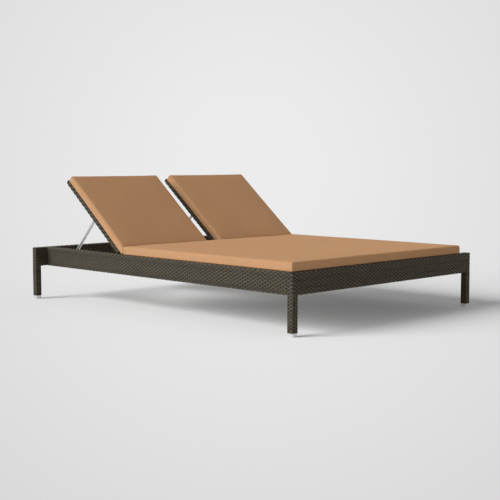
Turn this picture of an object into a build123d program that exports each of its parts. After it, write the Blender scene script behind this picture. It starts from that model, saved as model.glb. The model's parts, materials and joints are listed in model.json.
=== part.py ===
from build123d import *
import math
import os

# Double chaise lounger. Millimetres. Origin on the floor at the centre of the footprint,
# +X towards the foot end, +Y towards the far side, +Z up. The plan is a pinwheel: the foot
# beam is the head beam turned half a turn about Z, and so are the two side rails.

# Frame
length = 2000.0
beam_length = 1441.0
beam_overhang = 75.0
platform_width = beam_length - beam_overhang
rail_top = 300.0
rail_depth = 107.0
rail_width = 34.0
skin = 3.0
tube_wall = 2.0
skin_round = 3.5
skin_end_chamfer = 2.0
core_chord_height = 22.0
core_post_width = 20.0
side_post_from_middle = 727.0
beam_post_from_middle = 345.0

# Legs
leg_width = 34.0
glide_height = 17.5
glide_inset = 0.5
glide_chamfer = 1.5
glide_spigot = 22.0
spigot_chamfer = 2.0
leg_tube_top = 4.0

# Backrests, modelled lying flat with the hinge axis at their origin
recline = 39.25
flat_angle = 0.0
upright_angle = 58.0
hinge_from_head = 696.2
hinge_height = 312.3
backrest_width = 622.0
backrest_side_inset = 8.0
backrest_thickness = 24.0
backrest_reach = 589.0
backrest_rim = 28.0
backrest_rail_gap = 20.0
panel_thickness = 4.0
backrest_centre = platform_width / 2 - backrest_side_inset - backrest_width / 2
brace_width = 24.0
brace_height = 18.0

# Hinges
pin_radius = 4.0
running_gap = 0.05
bush_radius = 6.0
bush_depth = 20.0
ear_thickness = 4.0
ear_gap = 0.5
ear_radius = 11.0
hinge_lug = 45.0
bracket_height = 62.0
bracket_corner = 5.0
bracket_pad_drop = 2.0
pin_head_radius = 7.0
pin_head = 3.0
pin_clearance = 2.0

# Stays: two arms and a bar each, swinging from the brace down to the racks
stay_reach = 297.6
stay_drop = 22.0
stay_foot_height = 232.0
stay_slope = 46.37
arm_radius = 8.0
arm_bore = 6.5
arm_inset = 18.0
bar_radius = 7.0
bar_end_gap = 2.0
bar_cap = 2.0
clevis_wall = 3.0
clevis_gap = 1.0
clevis_width = 18.0
clevis_base = 1.5
rivet_radius = 3.0
rivet_head_radius = 5.4
rivet_head = 1.6
arm_plug = 6.0

# Racks
rack_thickness = 6.0
rack_depth = 20.0
rack_clearance = 2.0
notch_radius = 8.0
notch_depth = 5.0
notch_angles = [20.0, 30.0, recline, 49.0, upright_angle]
rack_end = 16.0
rack_corner = 6.0
rack_screw_rise = 8.0

# Seat
deck_from_head = 740.0
deck_thickness = 4.0
inner_rail_wall = 2.5
cross_bar_width = 30.0
cross_bar_height = 30.0
cross_bar_count = 4
cross_bar_margin = 2.0
last_cross_bar_from_foot = 274.0
bumper_radius = 9.0
bumper_chamfer = 1.0
bumper_from_head = 180.0
screw_radius = 3.0
screw_head_radius = 6.0
screw_head = 3.0
screw_shank = 13.0
bracket_screw_levels = [22.0, 45.0]

# Cushions
seat_cushion_from_head = 755.0
seat_cushion_width = 1349.0
seat_cushion_shift = -8.0
seat_cushion_thickness = 47.0
seat_cushion_setback = 4.0
back_cushion_low = 37.0
back_cushion_front_low = 21.0
back_cushion_high = 580.0
back_cushion_width = 619.0
back_cushion_thickness = 43.0
cushion_crown = 4.0
cushion_edge = 9.0
cushion_draw = 5.0
cushion_end_steps = [10.0, 45.0, 90.0]
cushion_bays = 6
cushion_least_crown = 0.3
cushion_least_edge = 2.0

# Values that follow from the ones above
head_x = -length / 2
foot_x = length / 2
near_y = -platform_width / 2
far_y = platform_width / 2
rail_bottom = rail_top - rail_depth
hinge_x = head_x + hinge_from_head
half_back = backrest_width / 2
half_thick = backrest_thickness / 2
rail_face = half_back + backrest_side_inset - rail_width
arm_y = rail_face - arm_inset
lug_step = backrest_rim + backrest_side_inset - rail_width
brace_bottom = -half_thick + 1
slip = 0.1

os.makedirs("parts", exist_ok=True)


def span(x0, x1, y0, y1, z0, z1):
    """A box between two corners."""
    centre = ((x0 + x1) / 2, (y0 + y1) / 2, (z0 + z1) / 2)
    return Pos(*centre) * Box(abs(x1 - x0), abs(y1 - y0), abs(z1 - z0))


def rod(radius, y0, y1, x=0.0, z=0.0):
    """A round bar along Y."""
    return Pos(x, (y0 + y1) / 2, z) * Rot(90, 0, 0) * Cylinder(radius, abs(y1 - y0))


def tube_x(x0, x1, y0, y1, z0, z1, wall):
    """A rectangular tube along X, open at its ends."""
    outer = span(x0, x1, y0, y1, z0, z1)
    return outer - span(x0 - 1, x1 + 1, y0 + wall, y1 - wall, z0 + wall, z1 - wall)


def half_turn(shape):
    """The piece on the opposite corner of the pinwheel."""
    return Rot(0, 0, 180) * shape


def rounded(shape, axis, radius):
    """Rounds the edges of a plain box that run along one axis."""
    return fillet(shape.edges().filter_by(axis), radius)


def skin_box(x0, x1, y0, y1, z0, z1, axis):
    """A woven skin round a beam: a box with softened long edges and a hollow for its core."""
    outer = rounded(span(x0, x1, y0, y1, z0, z1), axis, skin_round)
    grow_x = 1 if axis == Axis.X else -skin
    return outer - span(x0 - grow_x, x1 + grow_x, y0 + skin, y1 - skin, z0 + skin, z1 - skin)


def stay_pivot(angle):
    """Centre of a stay's upper pivot, as x and z, with the backrest at this angle."""
    turn = math.radians(angle)
    x = hinge_x - stay_reach * math.cos(turn) - stay_drop * math.sin(turn)
    z = hinge_height + stay_reach * math.sin(turn) - stay_drop * math.cos(turn)
    return x, z


pivot_x, pivot_z = stay_pivot(recline)
stay_length = (pivot_z - stay_foot_height) / math.sin(math.radians(stay_slope))


def stay_foot(angle):
    """Where the bar's centre stands along X when the backrest is propped at this angle."""
    x, z = stay_pivot(angle)
    return x - math.sqrt(stay_length ** 2 - (z - stay_foot_height) ** 2)


def rail_pads():
    """The four rail faces that carry hinges and racks, as the face's Y and the way it looks."""
    pads = {}
    for side, centre in (("near", -backrest_centre), ("far", backrest_centre)):
        outward = -1 if side == "near" else 1
        pads[side + "_outer"] = (centre + outward * rail_face, -outward)
        pads[side + "_inner"] = (centre - outward * rail_face, outward)
    return pads


def rack_bottom():
    return stay_foot_height - bar_radius - rack_clearance - rack_depth


def rack_screw_places():
    """Screws between the first two notches and between the last two."""
    feet = [stay_foot(angle) for angle in notch_angles]
    z = rack_bottom() + rack_screw_rise
    return [((feet[0] + feet[1]) / 2, z), ((feet[-2] + feet[-1]) / 2, z)]


def bracket_screw_places():
    """One screw into the rail's upper tube and one into the post below it."""
    return [(hinge_x, rail_top - level) for level in bracket_screw_levels]


def screw_from(face, look, x, z, under):
    """A hex-head screw driven into a rail face through a piece of this thickness."""
    seat = face + look * under
    shank = rod(screw_radius, seat, seat - look * screw_shank, x, z)
    outward = Plane(origin=(x, seat, z), x_dir=(1, 0, 0), z_dir=(0, look, 0))
    return shank + extrude(outward * RegularPolygon(screw_head_radius, 6), screw_head)


def screw_holes():
    """Clearance holes of all screws, as rods through whatever they cross."""
    holes = []
    for face, look in rail_pads().values():
        for x, z in rack_screw_places() + bracket_screw_places():
            holes.append(rod(screw_radius + slip, face + look, face - look * screw_shank, x, z))
    return holes


def drilled(shape, holes):
    for hole in holes:
        shape = shape - hole
    return shape


def leg_places():
    """Centres of the four legs in plan."""
    half = leg_width / 2
    head_near = (head_x + half, near_y - beam_overhang + half)
    head_far = (head_x + half, far_y - half)
    return {
        "near_head": head_near,
        "far_head": head_far,
        "far_foot": (-head_near[0], -head_near[1]),
        "near_foot": (-head_far[0], -head_far[1]),
    }


def chord_levels():
    """Lower and upper z of the two tubes inside a beam or a side rail."""
    low = rail_bottom + skin
    high = rail_top - skin
    return [(low, low + core_chord_height), (high - core_chord_height, high)]


def ladder_x(x0, x1, y0, y1, posts):
    """Two tubes along X with posts between them, welded up."""
    lower, upper = chord_levels()
    ladder = tube_x(x0, x1, y0, y1, *lower, tube_wall) + tube_x(x0, x1, y0, y1, *upper, tube_wall)
    half = core_post_width / 2
    for x in posts:
        ladder = ladder + span(x - half, x + half, y0 + tube_wall, y1 - tube_wall, lower[1], upper[0])
    return ladder


def beam_core():
    """The ladder inside the head beam, between its two legs."""
    y0 = near_y - beam_overhang + leg_width - skin
    y1 = far_y - leg_width + skin
    half = rail_width / 2 - skin
    ladder = ladder_x(y0, y1, -half, half, [-beam_post_from_middle, beam_post_from_middle])
    return Pos(head_x + rail_width / 2, 0, 0) * Rot(0, 0, 90) * ladder


def leg_tube(place):
    """The square tube inside a leg, from the glide up to the top of the beam."""
    x, y = place
    half = leg_width / 2 - skin
    outer = span(x - half, x + half, y - half, y + half, glide_height, rail_top - skin)
    bore = half - tube_wall
    hollow = span(x - bore, x + bore, y - bore, y + bore, glide_height - 1,
                  rail_top - skin - leg_tube_top)
    return outer - hollow


def leg_skin(place):
    x, y = place
    half = leg_width / 2
    outer = span(x - half, x + half, y - half, y + half, glide_height, rail_bottom)
    outer = rounded(outer, Axis.Z, skin_round)
    bore = half - skin
    return outer - span(x - bore, x + bore, y - bore, y + bore, 0, rail_top)


def glide(place):
    """A moulded glide: a square foot with a spigot up into the leg tube."""
    x, y = place
    half = leg_width / 2 - glide_inset
    foot = rounded(span(x - half, x + half, y - half, y + half, 0, glide_height), Axis.Z, skin_round)
    foot = chamfer(foot.faces().sort_by(Axis.Z)[0].edges(), glide_chamfer)
    bore = leg_width / 2 - skin - tube_wall - slip
    spigot = span(x - bore, x + bore, y - bore, y + bore, glide_height, glide_height + glide_spigot)
    return foot + chamfer(spigot.faces().sort_by(Axis.Z)[-1].edges(), spigot_chamfer)


def side_core():
    """The ladder inside the near side rail, welded to the beams' cores, with posts at the hinges."""
    posts = [-side_post_from_middle, hinge_x, -hinge_x, side_post_from_middle]
    return ladder_x(head_x + rail_width - skin, foot_x - rail_width + skin,
                    near_y + skin, near_y + rail_width - skin, posts)


def inner_rail(centre_y):
    """A deep aluminium rail under the inner side of a backrest, welded to both beams."""
    half = rail_width / 2
    return tube_x(head_x + rail_width - skin, foot_x - rail_width + skin,
                  centre_y - half, centre_y + half,
                  rail_bottom + skin + slip, rail_top - deck_thickness, inner_rail_wall)


def inner_rail_y(sign):
    return sign * (backrest_centre - rail_face - rail_width / 2)


def head_beam_skin():
    """The head beam's woven skin, open where the legs, rails and cores pass its wall."""
    body = skin_box(head_x, head_x + rail_width, near_y - beam_overhang, far_y,
                    rail_bottom, rail_top, Axis.Y)
    for name in ("near_head", "far_head"):
        x, y = leg_places()[name]
        half = leg_width / 2 - skin
        body = body - span(x - half, x + half, y - half, y + half, 0, rail_bottom + skin + 1)
    wall = (head_x + rail_width - skin - 1, head_x + rail_width + 1)
    for side_y in (near_y + rail_width / 2, far_y - rail_width / 2):
        half = rail_width / 2 - skin
        for low, high in chord_levels():
            body = body - span(*wall, side_y - half, side_y + half, low, high)
    for sign in (-1, 1):
        half = rail_width / 2
        y = inner_rail_y(sign)
        body = body - span(*wall, y - half, y + half, rail_bottom + skin + slip,
                           rail_top - deck_thickness)
    return body


def near_rail_skin():
    body = rounded(span(head_x + rail_width, foot_x - rail_width, near_y, near_y + rail_width,
                        rail_bottom, rail_top), Axis.X, skin_round)
    return body - span(head_x, foot_x, near_y + skin, near_y + rail_width - skin,
                       rail_bottom + skin, rail_top - skin)


def cross_bar(index):
    """One line of seat bar: three lengths welded between the four rails."""
    first = head_x + deck_from_head + cross_bar_width / 2 + cross_bar_margin
    last = foot_x - last_cross_bar_from_foot
    x = first + index * (last - first) / (cross_bar_count - 1)
    top = rail_top - deck_thickness
    inner = abs(inner_rail_y(1))
    half = rail_width / 2
    spans = [(near_y + rail_width, -inner - half), (-inner + half, inner - half),
             (inner + half, far_y - rail_width)]
    pieces = []
    for y0, y1 in spans:
        outer = span(x - cross_bar_width / 2, x + cross_bar_width / 2, y0, y1,
                     top - cross_bar_height, top)
        hollow = span(x - cross_bar_width / 2 + tube_wall, x + cross_bar_width / 2 - tube_wall,
                      y0 - 1, y1 + 1, top - cross_bar_height + tube_wall, top - tube_wall)
        pieces.append(outer - hollow)
    return Compound(pieces)


def seat_deck():
    """The woven deck under the seat cushion, flush with the rails."""
    return span(head_x + deck_from_head, foot_x - rail_width, near_y + rail_width,
                far_y - rail_width, rail_top - deck_thickness, rail_top)


def bumpers():
    """Rubber buttons on the inner rails, where the flat backrests come down."""
    pieces = []
    for sign in (-1, 1):
        foot = (head_x + bumper_from_head, inner_rail_y(sign), rail_top - deck_thickness / 2)
        button = Pos(*foot) * Cylinder(bumper_radius, deck_thickness)
        pieces.append(chamfer(button.faces().sort_by(Axis.Z)[-1].edges(), bumper_chamfer))
    return Compound(pieces)


def hinge_bracket(face, look):
    """A joggled plate: a pad on the rail's face and an ear up beside the backrest's side."""
    ear_near = face + look * (lug_step + ear_gap)
    ear_far = ear_near + look * ear_thickness
    left = hinge_x - ear_radius
    right = hinge_x + ear_radius
    low = rail_top - bracket_height
    bracket = span(left, right, ear_near, ear_far, low, hinge_height)
    bracket = bracket + rod(ear_radius, ear_near, ear_far, hinge_x, hinge_height)
    bracket = bracket + span(left, right, face, ear_near, low, rail_top - bracket_pad_drop)
    bracket = fillet(bracket.edges().filter_by(Axis.Y).group_by(Axis.Z)[0], bracket_corner)
    bracket = bracket - rod(pin_radius + slip, face, ear_far, hinge_x, hinge_height)
    for x, z in bracket_screw_places():
        bracket = bracket - rod(screw_radius + slip, face, ear_far, x, z)
    return bracket


def hinge_pin(face, look):
    """A shoulder pin through the ear and into the bush in the backrest's side."""
    ear_far = face + look * (lug_step + ear_gap + ear_thickness)
    tip = face + look * lug_step - look * (bush_depth - pin_clearance)
    pin = rod(pin_radius, tip, ear_far, hinge_x, hinge_height)
    head = rod(pin_head_radius, ear_far, ear_far + look * pin_head, hinge_x, hinge_height)
    return pin + head


def rack(face, look):
    """A rack with a scalloped notch for each propped position."""
    x0 = stay_foot(flat_angle) + rack_end
    x1 = stay_foot(upright_angle) + rack_end
    low = rack_bottom()
    body = span(x0, x1, face, face + look * rack_thickness, low, low + rack_depth)
    body = fillet(body.edges().filter_by(Axis.Y).group_by(Axis.Z)[0], rack_corner)
    back = face - look
    front = face + look * (rack_thickness + 1)
    sink = low + rack_depth - notch_depth + notch_radius
    for angle in notch_angles:
        body = body - rod(notch_radius, back, front, stay_foot(angle), sink)
    for x, z in rack_screw_places():
        body = body - rod(screw_radius + slip, back, front, x, z)
    return body


def screws():
    pieces = []
    plate = lug_step + ear_gap + ear_thickness
    for face, look in rail_pads().values():
        pieces += [screw_from(face, look, x, z, rack_thickness) for x, z in rack_screw_places()]
        pieces += [screw_from(face, look, x, z, plate) for x, z in bracket_screw_places()]
    return Compound(pieces)


def backrest_outline(half_width, half_height, far_end):
    """A flat slab about the hinge axis, with a round nose at the hinge end."""
    slab = span(-far_end, 0, -half_width, half_width, -half_height, half_height)
    return slab + rod(half_height, -half_width, half_width)


def backrest_window(rim, z0, z1):
    """The space inside the backrest's rim."""
    return span(-backrest_reach + rim, -backrest_rail_gap - rim, -half_back + rim,
                half_back - rim, z0, z1)


def lug_gap():
    """The space between the two hinge lugs, below the backrest's bottom rail."""
    return span(-backrest_rail_gap, half_thick + 1, -half_back + backrest_rim,
                half_back - backrest_rim, -half_thick - 1, half_thick + 1)


def backrest_core():
    """The welded ring of square tube inside a backrest, with solid ends at the hinges."""
    inset = skin
    core = backrest_outline(half_back - inset, half_thick - inset, backrest_reach - inset)
    core = core - backrest_window(backrest_rim - inset, -half_thick, half_thick)
    lug_half = half_back - backrest_rim + inset
    core = core - span(-backrest_rail_gap - inset, half_thick, -lug_half, lug_half,
                       -half_thick, half_thick)
    thick = half_thick - inset - tube_wall
    outer = inset + tube_wall
    hollow = span(-backrest_reach + outer, -hinge_lug, -half_back + outer, half_back - outer,
                  -thick, thick)
    hollow = hollow + span(-hinge_lug - 1, -backrest_rail_gap - outer, -lug_half - tube_wall,
                           lug_half + tube_wall, -thick, thick)
    island = backrest_rim - outer
    hollow = hollow - span(-backrest_reach + island, -backrest_rail_gap - island,
                           -half_back + island, half_back - island, -thick, thick)
    core = core - hollow
    for sign in (-1, 1):
        y0 = sign * (half_back - backrest_rim)
        y1 = y0 + sign * (bush_depth + slip)
        core = core - rod(bush_radius + slip, y0, y1)
    return core


def backrest_skin():
    """The woven skin: round the rim's tubes, and one sheet across them at the front."""
    outer = backrest_outline(half_back, half_thick, backrest_reach)
    outer = fillet(outer.edges().filter_by(Axis.X), skin_round)
    outer = chamfer(outer.edges().filter_by(Axis.Y).group_by(Axis.X)[0], skin_end_chamfer)
    body = outer - backrest_window(backrest_rim, -half_thick - 1, half_thick - panel_thickness)
    body = body - lug_gap()
    core = backrest_outline(half_back - skin, half_thick - skin, backrest_reach - skin)
    core = core - backrest_window(backrest_rim - skin, -half_thick, half_thick)
    lug_half = half_back - backrest_rim + skin
    core = core - span(-backrest_rail_gap - skin, half_thick, -lug_half, lug_half,
                       -half_thick, half_thick)
    body = body - core
    for sign in (-1, 1):
        y0 = sign * (half_back - backrest_rim - 1)
        body = body - rod(bush_radius + slip, y0, y0 + sign * (skin + 2))
    return body


def backrest_brace():
    """The cross tube behind the panel that carries the stay."""
    x0 = -stay_reach - brace_width / 2
    x1 = x0 + brace_width
    top = brace_bottom + brace_height
    half = half_back - backrest_rim
    tube = span(x0, x1, -half, half, brace_bottom, top)
    return tube - span(x0 + tube_wall, x1 - tube_wall, -half - 1, half + 1,
                       brace_bottom + tube_wall, top - tube_wall)


def hinge_bushes():
    pieces = []
    for sign in (-1, 1):
        y0 = sign * (half_back - backrest_rim)
        y1 = y0 + sign * bush_depth
        pieces.append(rod(bush_radius, y0, y1) - rod(pin_radius + running_gap, y0, y1))
    return Compound(pieces)


def clevis(y):
    """A folded bracket under the brace, with an ear on either side of one arm."""
    half_x = clevis_width / 2
    reach = arm_radius + clevis_gap
    left = -stay_reach - half_x
    right = -stay_reach + half_x
    outer = reach + clevis_wall
    bracket = span(left, right, y - outer, y + outer, brace_bottom - clevis_base, brace_bottom)
    for side in (-1, 1):
        y0 = y + side * reach
        y1 = y + side * outer
        bracket = bracket + span(left, right, y0, y1, -stay_drop, brace_bottom)
        bracket = bracket + rod(half_x, y0, y1, -stay_reach, -stay_drop)
    return bracket - rod(rivet_radius + slip, y - outer, y + outer, -stay_reach, -stay_drop)


def stay_brackets():
    return Compound([clevis(sign * arm_y) for sign in (-1, 1)])


def stay_rivets():
    """Rivet pins through the clevises and the arms' eyes."""
    pieces = []
    reach = arm_radius + clevis_gap + clevis_wall
    for sign in (-1, 1):
        y = sign * arm_y
        rivet = rod(rivet_radius, y - reach, y + reach, -stay_reach, -stay_drop)
        for side in (-1, 1):
            y0 = y + side * reach
            y1 = y0 + side * rivet_head
            rivet = rivet + rod(rivet_head_radius, y0, y1, -stay_reach, -stay_drop)
        pieces.append(rivet)
    return Compound(pieces)


def stay_arm(sign):
    """One arm, hanging straight down from its pivot at the origin, saddled on the bar."""
    tube = Pos(0, 0, -stay_length / 2) * Cylinder(arm_radius, stay_length + 2 * arm_radius)
    eye = rod(arm_radius, -arm_radius, arm_radius)
    shape = eye + span(-arm_radius, arm_radius, -arm_radius, arm_radius, 0, -stay_length)
    body = tube & shape
    bore = stay_length - 2 * (arm_radius + arm_plug)
    body = body - Pos(0, 0, -stay_length / 2) * Cylinder(arm_bore, bore)
    body = body - rod(rivet_radius + running_gap, -arm_radius, arm_radius)
    body = body - rod(bar_radius, -arm_radius, arm_radius, 0, -stay_length)
    return Pos(0, sign * arm_y, 0) * body


def stay_bar():
    half = rail_face - bar_end_gap - bar_cap
    return rod(bar_radius, -half, half, 0, -stay_length)


def stay_bar_caps():
    pieces = []
    half = rail_face - bar_end_gap
    for sign in (-1, 1):
        cap = rod(bar_radius, sign * (half - bar_cap), sign * half, 0, -stay_length)
        end = cap.faces().sort_by(Axis.Y)[-1 if sign > 0 else 0]
        pieces.append(chamfer(end.edges(), bar_cap / 2))
    return Compound(pieces)


def cushion_section(x, width, high, inset, bow):
    """A cushion's outline across its width: flat below, crowned above, drawn in as it bows."""
    half = width / 2 - inset - cushion_draw * bow
    low = inset
    top = high - inset
    crown = cushion_least_crown + (cushion_crown - cushion_least_crown) * bow
    radius = max(cushion_edge - inset, cushion_least_edge)
    bend = radius * (1 - math.sqrt(0.5))
    flat = half - radius
    points = [(flat, low), (half - bend, low + bend), (half, low + radius),
              (half, top - radius), (half - bend, top - bend), (flat, top)]
    mirrored = [(-y, z) for y, z in points]
    outline = [
        Line(mirrored[0], points[0]),
        ThreePointArc(points[0], points[1], points[2]),
        Line(points[2], points[3]),
        ThreePointArc(points[3], points[4], points[5]),
        ThreePointArc(points[5], (0, top + crown), mirrored[5]),
        ThreePointArc(mirrored[5], mirrored[4], mirrored[3]),
        Line(mirrored[3], mirrored[2]),
        ThreePointArc(mirrored[2], mirrored[1], mirrored[0]),
    ]
    plane = Plane(origin=(x, 0, 0), x_dir=(0, 1, 0), z_dir=(1, 0, 0))
    return plane * make_face(outline)


def cushion(x0, x1, width, thickness):
    """A filled pad: rounded ends, then bays that crown and draw in towards its middle."""
    high = thickness - cushion_crown
    first = math.cos(math.radians(cushion_end_steps[0]))
    steps = []
    for angle in cushion_end_steps:
        turn = math.radians(angle)
        back = cushion_edge * (first - math.cos(turn))
        steps.append((back, cushion_edge * (1 - math.sin(turn))))
    start = x0 + steps[-1][0]
    end = x1 - steps[-1][0]
    sections = [cushion_section(x0 + back, width, high, inset, 0.0) for back, inset in steps]
    for bay in range(1, cushion_bays):
        share = bay / cushion_bays
        bow = 4 * share * (1 - share)
        sections.append(cushion_section(start + share * (end - start), width, high, 0.0, bow))
    sections += [cushion_section(x1 - back, width, high, inset, 0.0) for back, inset in reversed(steps)]
    return loft(sections, ruled=True)


def seat_cushion():
    x0 = head_x + seat_cushion_from_head
    x1 = foot_x - seat_cushion_setback
    body = cushion(x0, x1, seat_cushion_width, seat_cushion_thickness)
    return Pos(0, seat_cushion_shift, rail_top + slip) * body


def back_cushion():
    body = cushion(-back_cushion_high, back_cushion_low, back_cushion_width,
                   back_cushion_thickness)
    return tucked(Pos(0, 0, half_thick + slip) * body)


def tucked(pad):
    """A back pad with its lower end cut: upright beside the seat cushion, and clear of the rails."""
    front = half_thick + back_cushion_thickness
    size = 4 * back_cushion_thickness
    block = Box(size, back_cushion_width + size, size)
    beside = Pos(back_cushion_front_low, 0, front) * Rot(0, -recline, 0) * Pos(size / 2, 0, 0)
    below = Rot(0, -upright_angle, 0) * Pos(0, 0, 2 * slip - half_thick - size / 2)
    return pad - beside * block - below * block


def write(shape, name):
    shape.label = name
    export_step(shape, "parts/" + name + ".step")


def build_frame():
    holes = screw_holes()
    beam = head_beam_skin()
    write(beam, "head_beam_weave")
    write(half_turn(beam), "foot_beam_weave")
    rail = near_rail_skin()
    write(drilled(rail, holes), "near_rail_weave")
    write(drilled(half_turn(rail), holes), "far_rail_weave")
    core = beam_core()
    write(core, "head_beam_tubes")
    write(half_turn(core), "foot_beam_tubes")
    ladder = side_core()
    write(drilled(ladder, holes), "near_rail_tubes")
    write(drilled(half_turn(ladder), holes), "far_rail_tubes")
    for name, place in leg_places().items():
        write(leg_tube(place), name + "_leg_tube")
        write(leg_skin(place), name + "_leg_weave")
        write(glide(place), name + "_glide")
    write(drilled(inner_rail(inner_rail_y(-1)), holes), "near_inner_rail")
    write(drilled(inner_rail(inner_rail_y(1)), holes), "far_inner_rail")
    for index in range(cross_bar_count):
        write(cross_bar(index), "seat_cross_bar_" + str(index + 1))
    write(seat_deck(), "seat_deck_weave")
    write(bumpers(), "rest_bumpers")
    write(screws(), "frame_screws")
    write(seat_cushion(), "seat_cushion")


def build_racks_and_hinges():
    pads = rail_pads()
    for name, (face, look) in pads.items():
        write(rack(face, look), name + "_rack")
    for side in ("near", "far"):
        pair = [pads[side + "_outer"], pads[side + "_inner"]]
        brackets = Compound([hinge_bracket(face, look) for face, look in pair])
        write(brackets, side + "_hinge_brackets")
        write(Compound([hinge_pin(face, look) for face, look in pair]), side + "_hinge_pins")


def build_backrests():
    pieces = {
        "_backrest_weave": backrest_skin(),
        "_backrest_tubes": backrest_core(),
        "_backrest_brace": backrest_brace(),
        "_hinge_bushes": hinge_bushes(),
        "_stay_brackets": stay_brackets(),
        "_stay_rivets": stay_rivets(),
        "_backrest_cushion": back_cushion(),
    }
    for side, sign in (("near", -1), ("far", 1)):
        seat = Pos(hinge_x, sign * backrest_centre, hinge_height) * Rot(0, recline, 0)
        for name, shape in pieces.items():
            write(seat * shape, side + name)
        swing = Pos(pivot_x, sign * backrest_centre, pivot_z) * Rot(0, 90 - stay_slope, 0)
        write(swing * stay_arm(sign), side + "_stay_outer_arm")
        write(swing * stay_arm(-sign), side + "_stay_inner_arm")
        write(swing * stay_bar(), side + "_stay_bar")
        write(swing * stay_bar_caps(), side + "_stay_bar_caps")


build_frame()
build_racks_and_hinges()
build_backrests()
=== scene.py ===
import json
import math

import bpy
import numpy as np
from mathutils import Matrix, Vector


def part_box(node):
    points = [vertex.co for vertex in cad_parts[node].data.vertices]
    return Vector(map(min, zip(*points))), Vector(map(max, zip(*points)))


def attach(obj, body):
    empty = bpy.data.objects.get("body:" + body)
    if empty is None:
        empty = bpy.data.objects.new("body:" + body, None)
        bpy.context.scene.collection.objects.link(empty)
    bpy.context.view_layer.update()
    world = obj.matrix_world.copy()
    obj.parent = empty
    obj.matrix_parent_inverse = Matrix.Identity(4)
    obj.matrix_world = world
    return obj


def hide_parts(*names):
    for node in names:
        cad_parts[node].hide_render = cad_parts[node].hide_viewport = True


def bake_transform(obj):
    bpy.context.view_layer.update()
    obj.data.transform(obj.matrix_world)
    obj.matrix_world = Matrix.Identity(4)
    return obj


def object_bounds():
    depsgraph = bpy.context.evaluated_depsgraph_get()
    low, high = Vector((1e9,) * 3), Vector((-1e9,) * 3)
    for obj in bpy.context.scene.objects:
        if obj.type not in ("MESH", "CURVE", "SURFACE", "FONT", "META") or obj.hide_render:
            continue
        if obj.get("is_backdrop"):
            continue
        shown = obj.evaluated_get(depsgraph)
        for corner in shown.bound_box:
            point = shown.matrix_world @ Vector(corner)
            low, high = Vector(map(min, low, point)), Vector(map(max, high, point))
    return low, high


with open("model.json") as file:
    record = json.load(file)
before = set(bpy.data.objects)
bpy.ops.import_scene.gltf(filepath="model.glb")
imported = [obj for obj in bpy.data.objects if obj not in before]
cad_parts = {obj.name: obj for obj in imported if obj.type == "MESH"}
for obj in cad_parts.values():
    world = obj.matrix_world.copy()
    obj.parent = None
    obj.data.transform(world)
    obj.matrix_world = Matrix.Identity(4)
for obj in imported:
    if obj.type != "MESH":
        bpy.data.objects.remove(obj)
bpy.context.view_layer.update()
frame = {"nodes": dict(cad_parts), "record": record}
nodes = frame["nodes"]
draw = np.random.default_rng(11)

# Metres. The same plan as the CAD: +X towards the foot end, +Y towards the far side, +Z up.
HEAD_X = -1.0
FOOT_X = 1.0
NEAR_Y = -0.683
FAR_Y = 0.683
OVERHANG = 0.075
TOP = 0.300
BOTTOM = 0.193
BEAM = 0.034
GLIDE = 0.0175
ROUND = 0.0028
HINGE_X = -0.3038
HINGE_Z = 0.3123
BACK_Y = 0.364
RECLINE = math.radians(39.25)
BACK_HALF = 0.311
BACK_THICK = 0.024
BACK_REACH = 0.589
RIM = 0.028
RAIL_GAP = 0.020
DECK_X = -0.260

# The weave: strands run in rows over and under stakes set well apart
STAKE = 0.0165
ROW = 0.0086
CREST = 0.0012
TROUGH = -0.0025
STRAND_EDGE = 0.0006
STAKE_HALF = 0.0021
STAKE_LIFT = -0.0015
STAKE_SINK = 0.0007
# The stakes' painted shade: their colour goes most of the way to near black
STAKE_PAINTED_SHADE = 0.75
DIP_WIDTH = 0.90
FLOAT_GAIN = 0.10
END_LEVEL = 0.6
WANDER = 0.00018
WANDER_RATE = 37
# A near-black sheet under the strands, painted shade seen through the gaps: how deep it lies, its parts
# across, and its tone mark
SHADE_SHEET_DEPTH = 0.0029
SHADE_SHEET_PARTS = 24
SHADE_SHEET_TONE = -1.0
NOSE_END = 0.9995
# How much further out the grid lies that says which way a sheet faces
OUTER = 0.001
# Ranges of the random draws: where a wave starts, and where on the strand's pattern a strand starts
PHASES = 6.28
STARTS = 50
# The strands' crests stand a little proud of the skin's middle, so the skin lies that much lower
# where a backrest comes down on the rails
WOVEN_TOP = TOP - 0.00115
WOVEN_BOTTOM = BOTTOM - 0.0008
WOVEN_BACK = 0.0217


# Strands ---------------------------------------------------------------------------------

# tone, run and side say how each strand looks along and across it; recess_shade is painted shade, how
# far its colour goes towards near black in the dips and on the stakes
MARKS = ("tone", "run", "side", "recess_shade")


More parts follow.
